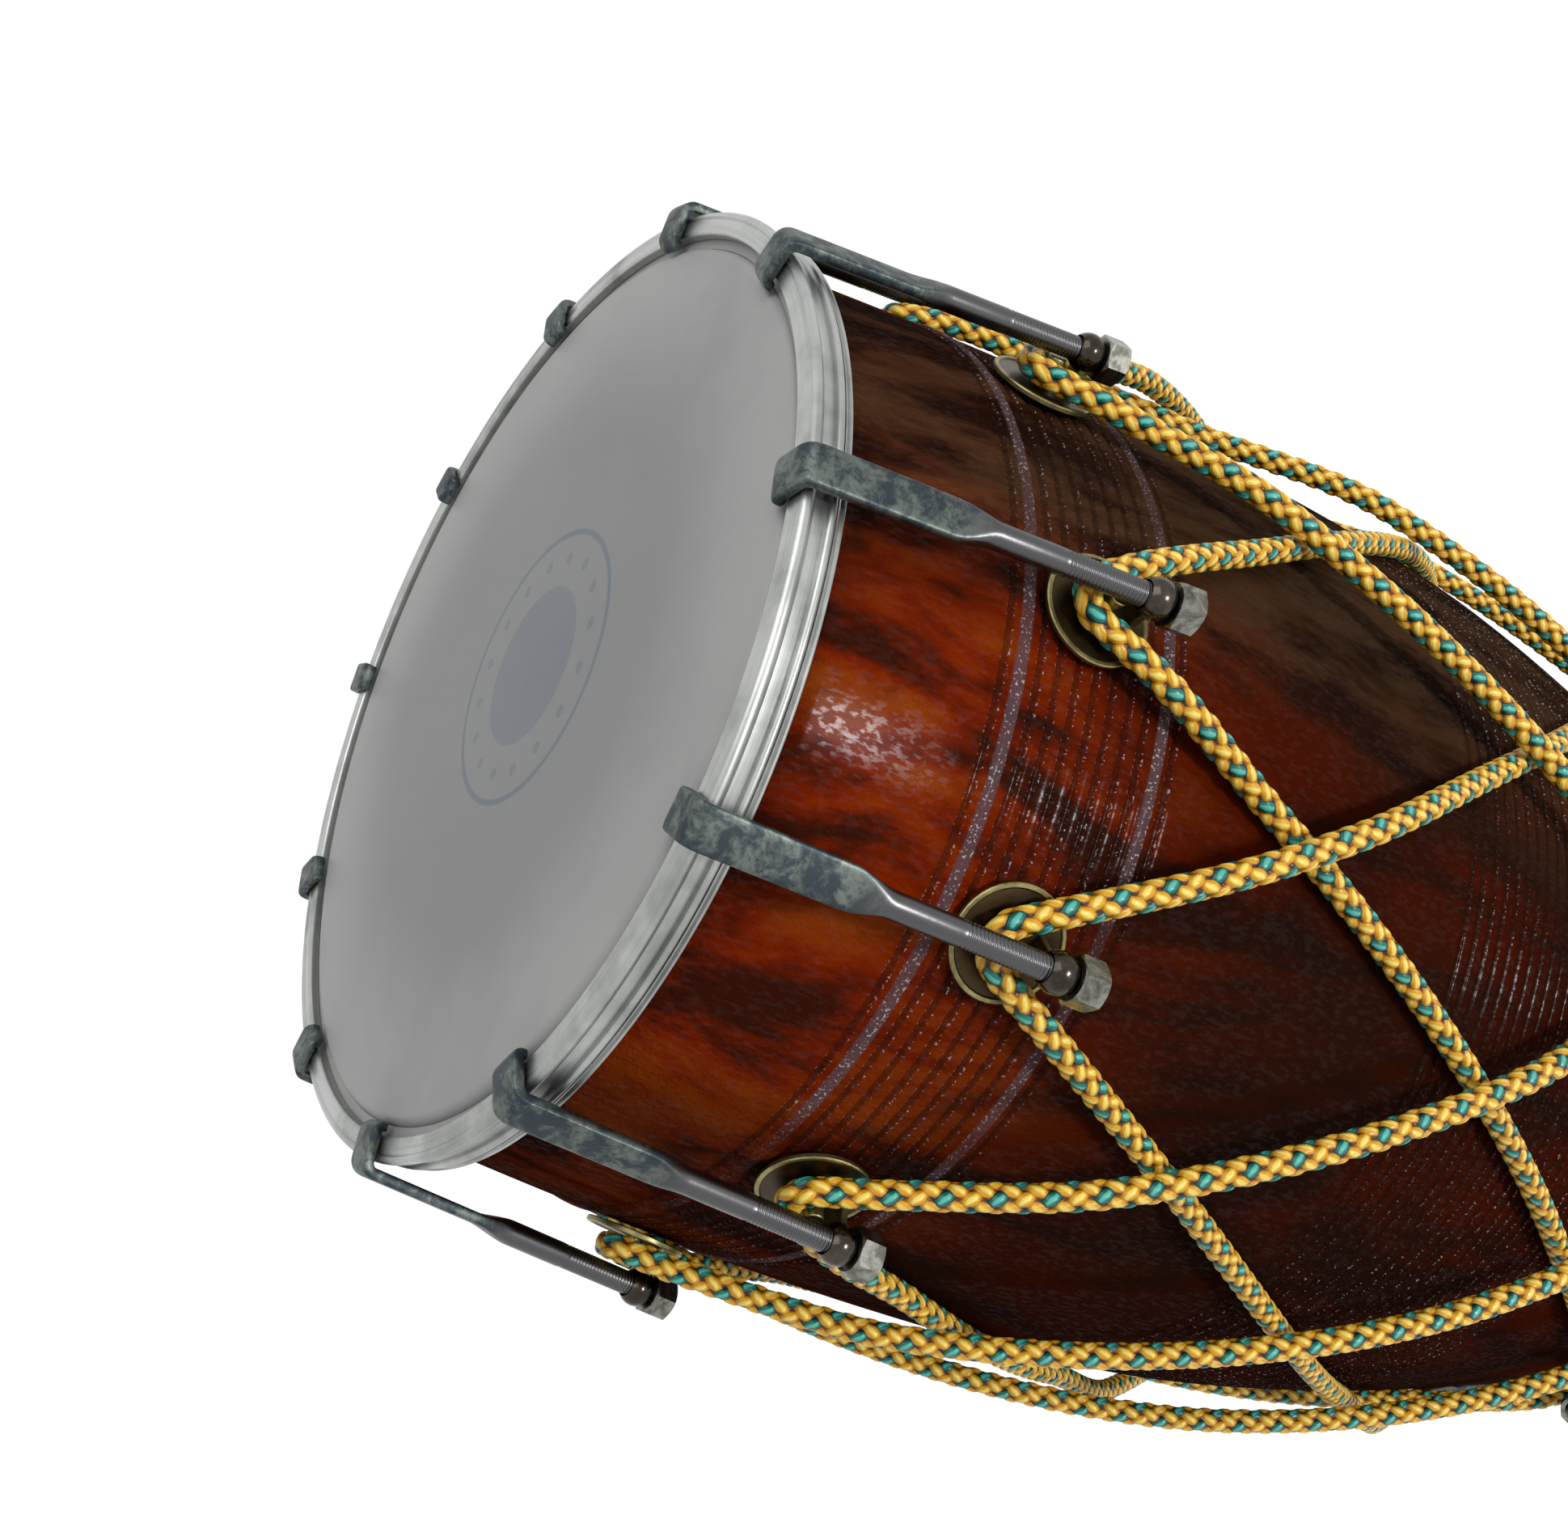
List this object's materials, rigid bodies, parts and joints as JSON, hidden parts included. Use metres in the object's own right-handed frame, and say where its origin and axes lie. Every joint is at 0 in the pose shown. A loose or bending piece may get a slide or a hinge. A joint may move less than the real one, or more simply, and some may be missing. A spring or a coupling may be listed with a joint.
{
  "type": "barrel drum",
  "caption": "Barrel drum with a lacquered bulging shell, a plastic head at each end, metal hoops held by hook rods, tuning nuts and zigzag rope lacing.",
  "frame": {"origin": "on the drum's axis, in the plane of the bass hooks' flat tops, on which it stands", "axes": "+Z along the drum's axis, from the bass head up to the treble head; hook and saddle 01 of the treble end stand at 60.2 degrees from +X, and the numbers rise clockwise as seen from above"},
  "size_m": [0.4188, 0.4155, 0.6878],
  "materials": {
    "lacquered_wood": "gloss lacquer",
    "plastic_film": "satin",
    "aluminium": "polished",
    "galvanised_steel": "dull zinc",
    "zinc_plated_steel": "bright zinc",
    "yellow_zinc_steel": "yellow passivated zinc",
    "gold_rope": "braided yarn"
  },
  "bodies": {
    "drum": {"shell": "lacquered_wood", "treble_head": "plastic_film", "treble_hoop": "aluminium", "bass_head_and_hoop": "aluminium", "lacing_rope": "gold_rope", "treble_saddle_01": "yellow_zinc_steel", "treble_saddle_02": "yellow_zinc_steel", "treble_saddle_03": "yellow_zinc_steel", "treble_saddle_04": "yellow_zinc_steel", "treble_saddle_05": "yellow_zinc_steel", "treble_saddle_06": "yellow_zinc_steel", "treble_saddle_07": "yellow_zinc_steel", "treble_saddle_08": "yellow_zinc_steel", "treble_saddle_09": "yellow_zinc_steel", "treble_saddle_10": "yellow_zinc_steel", "treble_saddle_11": "yellow_zinc_steel"},
    "treble_nut_01": {"treble_nut_01": "zinc_plated_steel"},
    "treble_nut_02": {"treble_nut_02": "zinc_plated_steel"},
    "treble_nut_03": {"treble_nut_03": "zinc_plated_steel"},
    "treble_nut_04": {"treble_nut_04": "zinc_plated_steel"},
    "treble_nut_05": {"treble_nut_05": "zinc_plated_steel"},
    "treble_nut_06": {"treble_nut_06": "zinc_plated_steel"},
    "treble_nut_07": {"treble_nut_07": "zinc_plated_steel"},
    "treble_nut_08": {"treble_nut_08": "zinc_plated_steel"},
    "treble_nut_09": {"treble_nut_09": "zinc_plated_steel"},
    "treble_nut_10": {"treble_nut_10": "zinc_plated_steel"},
    "treble_nut_11": {"treble_nut_11": "zinc_plated_steel"},
    "treble_hook_01": {"treble_hook_01": "galvanised_steel"},
    "treble_hook_02": {"treble_hook_02": "galvanised_steel"},
    "treble_hook_03": {"treble_hook_03": "galvanised_steel"},
    "treble_hook_04": {"treble_hook_04": "galvanised_steel"},
    "treble_hook_05": {"treble_hook_05": "galvanised_steel"},
    "treble_hook_06": {"treble_hook_06": "galvanised_steel"},
    "treble_hook_07": {"treble_hook_07": "galvanised_steel"},
    "treble_hook_08": {"treble_hook_08": "galvanised_steel"},
    "treble_hook_09": {"treble_hook_09": "galvanised_steel"},
    "treble_hook_10": {"treble_hook_10": "galvanised_steel"},
    "treble_hook_11": {"treble_hook_11": "galvanised_steel"},
    "bass_nut_01": {"bass_nut_01": "zinc_plated_steel"},
    "bass_nut_02": {"bass_nut_02": "zinc_plated_steel"},
    "bass_nut_03": {"bass_nut_03": "zinc_plated_steel"},
    "bass_nut_04": {"bass_nut_04": "zinc_plated_steel"},
    "bass_nut_05": {"bass_nut_05": "zinc_plated_steel"},
    "bass_nut_06": {"bass_nut_06": "zinc_plated_steel"},
    "bass_nut_07": {"bass_nut_07": "zinc_plated_steel"},
    "bass_nut_08": {"bass_nut_08": "zinc_plated_steel"},
    "bass_nut_09": {"bass_nut_09": "zinc_plated_steel"},
    "bass_nut_10": {"bass_nut_10": "zinc_plated_steel"},
    "bass_nut_11": {"bass_nut_11": "zinc_plated_steel"},
    "bass_hook_01": {"bass_hook_01": "galvanised_steel"},
    "bass_hook_02": {"bass_hook_02": "galvanised_steel"},
    "bass_hook_03": {"bass_hook_03": "galvanised_steel"},
    "bass_hook_04": {"bass_hook_04": "galvanised_steel"},
    "bass_hook_05": {"bass_hook_05": "galvanised_steel"},
    "bass_hook_06": {"bass_hook_06": "galvanised_steel"},
    "bass_hook_07": {"bass_hook_07": "galvanised_steel"},
    "bass_hook_08": {"bass_hook_08": "galvanised_steel"},
    "bass_hook_09": {"bass_hook_09": "galvanised_steel"},
    "bass_hook_10": {"bass_hook_10": "galvanised_steel"},
    "bass_hook_11": {"bass_hook_11": "galvanised_steel"}
  },
  "joints": [
    {"name": "treble_nut_turn_01", "type": "hinge", "parent": "drum", "child": "treble_nut_01", "pos_m": [0.09386, 0.16389, 0.5799], "axis": [0.0973, 0.1698, -0.9807], "range_deg": [0, 1080]},
    {"name": "treble_hook_draw_01", "type": "slide", "parent": "drum", "child": "treble_hook_01", "axis": [-0.0973, -0.1698, 0.9807], "range_m": [0, 0.00375]},
    {"name": "treble_nut_turn_02", "type": "hinge", "parent": "drum", "child": "treble_nut_02", "pos_m": [0.16756, 0.08713, 0.5799], "axis": [0.1737, 0.0903, -0.9807], "range_deg": [0, 1080]},
    {"name": "treble_hook_draw_02", "type": "slide", "parent": "drum", "child": "treble_hook_02", "axis": [-0.1737, -0.0903, 0.9807], "range_m": [0, 0.00375]},
    {"name": "treble_nut_turn_03", "type": "hinge", "parent": "drum", "child": "treble_nut_03", "pos_m": [0.18807, -0.0173, 0.5799], "axis": [0.1949, -0.0179, -0.9807], "range_deg": [0, 1080]},
    {"name": "treble_hook_draw_03", "type": "slide", "parent": "drum", "child": "treble_hook_03", "axis": [-0.1949, 0.0179, 0.9807], "range_m": [0, 0.00375]},
    {"name": "treble_nut_turn_04", "type": "hinge", "parent": "drum", "child": "treble_nut_04", "pos_m": [0.14886, -0.11623, 0.5799], "axis": [0.1543, -0.1205, -0.9807], "range_deg": [0, 1080]},
    {"name": "treble_hook_draw_04", "type": "slide", "parent": "drum", "child": "treble_hook_04", "axis": [-0.1543, 0.1205, 0.9807], "range_m": [0, 0.00375]},
    {"name": "treble_nut_turn_05", "type": "hinge", "parent": "drum", "child": "treble_nut_05", "pos_m": [0.06239, -0.17826, 0.5799], "axis": [0.0647, -0.1847, -0.9807], "range_deg": [0, 1080]},
    {"name": "treble_hook_draw_05", "type": "slide", "parent": "drum", "child": "treble_hook_05", "axis": [-0.0647, 0.1847, 0.9807], "range_m": [0, 0.00375]},
    {"name": "treble_nut_turn_06", "type": "hinge", "parent": "drum", "child": "treble_nut_06", "pos_m": [-0.04388, -0.18369, 0.5799], "axis": [-0.0455, -0.1904, -0.9807], "range_deg": [0, 1080]},
    {"name": "treble_hook_draw_06", "type": "slide", "parent": "drum", "child": "treble_hook_06", "axis": [0.0455, 0.1904, 0.9807], "range_m": [0, 0.00375]},
    {"name": "treble_nut_turn_07", "type": "hinge", "parent": "drum", "child": "treble_nut_07", "pos_m": [-0.13623, -0.1308, 0.5799], "axis": [-0.1412, -0.1356, -0.9807], "range_deg": [0, 1080]},
    {"name": "treble_hook_draw_07", "type": "slide", "parent": "drum", "child": "treble_hook_07", "axis": [0.1412, 0.1356, 0.9807], "range_m": [0, 0.00375]},
    {"name": "treble_nut_turn_08", "type": "hinge", "parent": "drum", "child": "treble_nut_08", "pos_m": [-0.18532, -0.03639, 0.5799], "axis": [-0.1921, -0.0377, -0.9807], "range_deg": [0, 1080]},
    {"name": "treble_hook_draw_08", "type": "slide", "parent": "drum", "child": "treble_hook_08", "axis": [0.1921, 0.0377, 0.9807], "range_m": [0, 0.00375]},
    {"name": "treble_nut_turn_09", "type": "hinge", "parent": "drum", "child": "treble_nut_09", "pos_m": [-0.17558, 0.06958, 0.5799], "axis": [-0.182, 0.0721, -0.9807], "range_deg": [0, 1080]},
    {"name": "treble_hook_draw_09", "type": "slide", "parent": "drum", "child": "treble_hook_09", "axis": [0.182, -0.0721, 0.9807], "range_m": [0, 0.00375]},
    {"name": "treble_nut_turn_10", "type": "hinge", "parent": "drum", "child": "treble_nut_10", "pos_m": [-0.11009, 0.15346, 0.5799], "axis": [-0.1141, 0.159, -0.9807], "range_deg": [0, 1080]},
    {"name": "treble_hook_draw_10", "type": "slide", "parent": "drum", "child": "treble_hook_10", "axis": [0.1141, -0.159, 0.9807], "range_m": [0, 0.00375]},
    {"name": "treble_nut_turn_11", "type": "hinge", "parent": "drum", "child": "treble_nut_11", "pos_m": [-0.00964, 0.18861, 0.5799], "axis": [-0.01, 0.1955, -0.9807], "range_deg": [0, 1080]},
    {"name": "treble_hook_draw_11", "type": "slide", "parent": "drum", "child": "treble_hook_11", "axis": [0.01, -0.1955, 0.9807], "range_m": [0, 0.00375]},
    {"name": "bass_nut_turn_01", "type": "hinge", "parent": "drum", "child": "bass_nut_01", "pos_m": [0.10913, 0.15414, 0.1079], "axis": [0.1131, 0.1597, 0.9807], "range_deg": [0, 1080]},
    {"name": "bass_hook_draw_01", "type": "slide", "parent": "drum", "child": "bass_hook_01", "axis": [-0.1131, -0.1597, -0.9807], "range_m": [0, 0.00375]},
    {"name": "bass_nut_turn_02", "type": "hinge", "parent": "drum", "child": "bass_nut_02", "pos_m": [0.17514, 0.07066, 0.1079], "axis": [0.1815, 0.0732, 0.9807], "range_deg": [0, 1080]},
    {"name": "bass_hook_draw_02", "type": "slide", "parent": "drum", "child": "bass_hook_02", "axis": [-0.1815, -0.0732, -0.9807], "range_m": [0, 0.00375]},
    {"name": "bass_nut_turn_03", "type": "hinge", "parent": "drum", "child": "bass_nut_03", "pos_m": [0.18554, -0.03524, 0.1079], "axis": [0.1923, -0.0365, 0.9807], "range_deg": [0, 1080]},
    {"name": "bass_hook_draw_03", "type": "slide", "parent": "drum", "child": "bass_hook_03", "axis": [-0.1923, 0.0365, -0.9807], "range_m": [0, 0.00375]},
    {"name": "bass_nut_turn_04", "type": "hinge", "parent": "drum", "child": "bass_nut_04", "pos_m": [0.13704, -0.12996, 0.1079], "axis": [0.142, -0.1347, 0.9807], "range_deg": [0, 1080]},
    {"name": "bass_hook_draw_04", "type": "slide", "parent": "drum", "child": "bass_hook_04", "axis": [-0.142, 0.1347, -0.9807], "range_m": [0, 0.00375]},
    {"name": "bass_nut_turn_05", "type": "hinge", "parent": "drum", "child": "bass_nut_05", "pos_m": [0.04502, -0.18342, 0.1079], "axis": [0.0467, -0.1901, 0.9807], "range_deg": [0, 1080]},
    {"name": "bass_hook_draw_05", "type": "slide", "parent": "drum", "child": "bass_hook_05", "axis": [-0.0467, 0.1901, -0.9807], "range_m": [0, 0.00375]},
    {"name": "bass_nut_turn_06", "type": "hinge", "parent": "drum", "child": "bass_nut_06", "pos_m": [-0.06129, -0.17864, 0.1079], "axis": [-0.0635, -0.1851, 0.9807], "range_deg": [0, 1080]},
    {"name": "bass_hook_draw_06", "type": "slide", "parent": "drum", "child": "bass_hook_06", "axis": [0.0635, 0.1851, -0.9807], "range_m": [0, 0.00375]},
    {"name": "bass_nut_turn_07", "type": "hinge", "parent": "drum", "child": "bass_nut_07", "pos_m": [-0.14814, -0.11715, 0.1079], "axis": [-0.1535, -0.1214, 0.9807], "range_deg": [0, 1080]},
    {"name": "bass_hook_draw_07", "type": "slide", "parent": "drum", "child": "bass_hook_07", "axis": [0.1535, 0.1214, -0.9807], "range_m": [0, 0.00375]},
    {"name": "bass_nut_turn_08", "type": "hinge", "parent": "drum", "child": "bass_nut_08", "pos_m": [-0.18796, -0.01846, 0.1079], "axis": [-0.1948, -0.0191, 0.9807], "range_deg": [0, 1080]},
    {"name": "bass_hook_draw_08", "type": "slide", "parent": "drum", "child": "bass_hook_08", "axis": [0.1948, 0.0191, -0.9807], "range_m": [0, 0.00375]},
    {"name": "bass_nut_turn_09", "type": "hinge", "parent": "drum", "child": "bass_nut_09", "pos_m": [-0.1681, 0.08609, 0.1079], "axis": [-0.1742, 0.0892, 0.9807], "range_deg": [0, 1080]},
    {"name": "bass_hook_draw_09", "type": "slide", "parent": "drum", "child": "bass_hook_09", "axis": [0.1742, -0.0892, -0.9807], "range_m": [0, 0.00375]},
    {"name": "bass_nut_turn_10", "type": "hinge", "parent": "drum", "child": "bass_nut_10", "pos_m": [-0.09487, 0.1633, 0.1079], "axis": [-0.0983, 0.1692, 0.9807], "range_deg": [0, 1080]},
    {"name": "bass_hook_draw_10", "type": "slide", "parent": "drum", "child": "bass_hook_10", "axis": [0.0983, -0.1692, -0.9807], "range_m": [0, 0.00375]},
    {"name": "bass_nut_turn_11", "type": "hinge", "parent": "drum", "child": "bass_nut_11", "pos_m": [0.00848, 0.18867, 0.1079], "axis": [0.0088, 0.1955, 0.9807], "range_deg": [0, 1080]},
    {"name": "bass_hook_draw_11", "type": "slide", "parent": "drum", "child": "bass_hook_11", "axis": [-0.0088, -0.1955, -0.9807], "range_m": [0, 0.00375]}
  ],
  "couplings": [
    {"joint": "treble_nut_turn_01", "follows": "treble_hook_draw_01", "rad_per_m": 5026.5},
    {"joint": "treble_nut_turn_02", "follows": "treble_hook_draw_02", "rad_per_m": 5026.5},
    {"joint": "treble_nut_turn_03", "follows": "treble_hook_draw_03", "rad_per_m": 5026.5},
    {"joint": "treble_nut_turn_04", "follows": "treble_hook_draw_04", "rad_per_m": 5026.5},
    {"joint": "treble_nut_turn_05", "follows": "treble_hook_draw_05", "rad_per_m": 5026.5},
    {"joint": "treble_nut_turn_06", "follows": "treble_hook_draw_06", "rad_per_m": 5026.5},
    {"joint": "treble_nut_turn_07", "follows": "treble_hook_draw_07", "rad_per_m": 5026.5},
    {"joint": "treble_nut_turn_08", "follows": "treble_hook_draw_08", "rad_per_m": 5026.5},
    {"joint": "treble_nut_turn_09", "follows": "treble_hook_draw_09", "rad_per_m": 5026.5},
    {"joint": "treble_nut_turn_10", "follows": "treble_hook_draw_10", "rad_per_m": 5026.5},
    {"joint": "treble_nut_turn_11", "follows": "treble_hook_draw_11", "rad_per_m": 5026.5},
    {"joint": "bass_nut_turn_01", "follows": "bass_hook_draw_01", "rad_per_m": 5026.5},
    {"joint": "bass_nut_turn_02", "follows": "bass_hook_draw_02", "rad_per_m": 5026.5},
    {"joint": "bass_nut_turn_03", "follows": "bass_hook_draw_03", "rad_per_m": 5026.5},
    {"joint": "bass_nut_turn_04", "follows": "bass_hook_draw_04", "rad_per_m": 5026.5},
    {"joint": "bass_nut_turn_05", "follows": "bass_hook_draw_05", "rad_per_m": 5026.5},
    {"joint": "bass_nut_turn_06", "follows": "bass_hook_draw_06", "rad_per_m": 5026.5},
    {"joint": "bass_nut_turn_07", "follows": "bass_hook_draw_07", "rad_per_m": 5026.5},
    {"joint": "bass_nut_turn_08", "follows": "bass_hook_draw_08", "rad_per_m": 5026.5},
    {"joint": "bass_nut_turn_09", "follows": "bass_hook_draw_09", "rad_per_m": 5026.5},
    {"joint": "bass_nut_turn_10", "follows": "bass_hook_draw_10", "rad_per_m": 5026.5},
    {"joint": "bass_nut_turn_11", "follows": "bass_hook_draw_11", "rad_per_m": 5026.5}
  ]
}
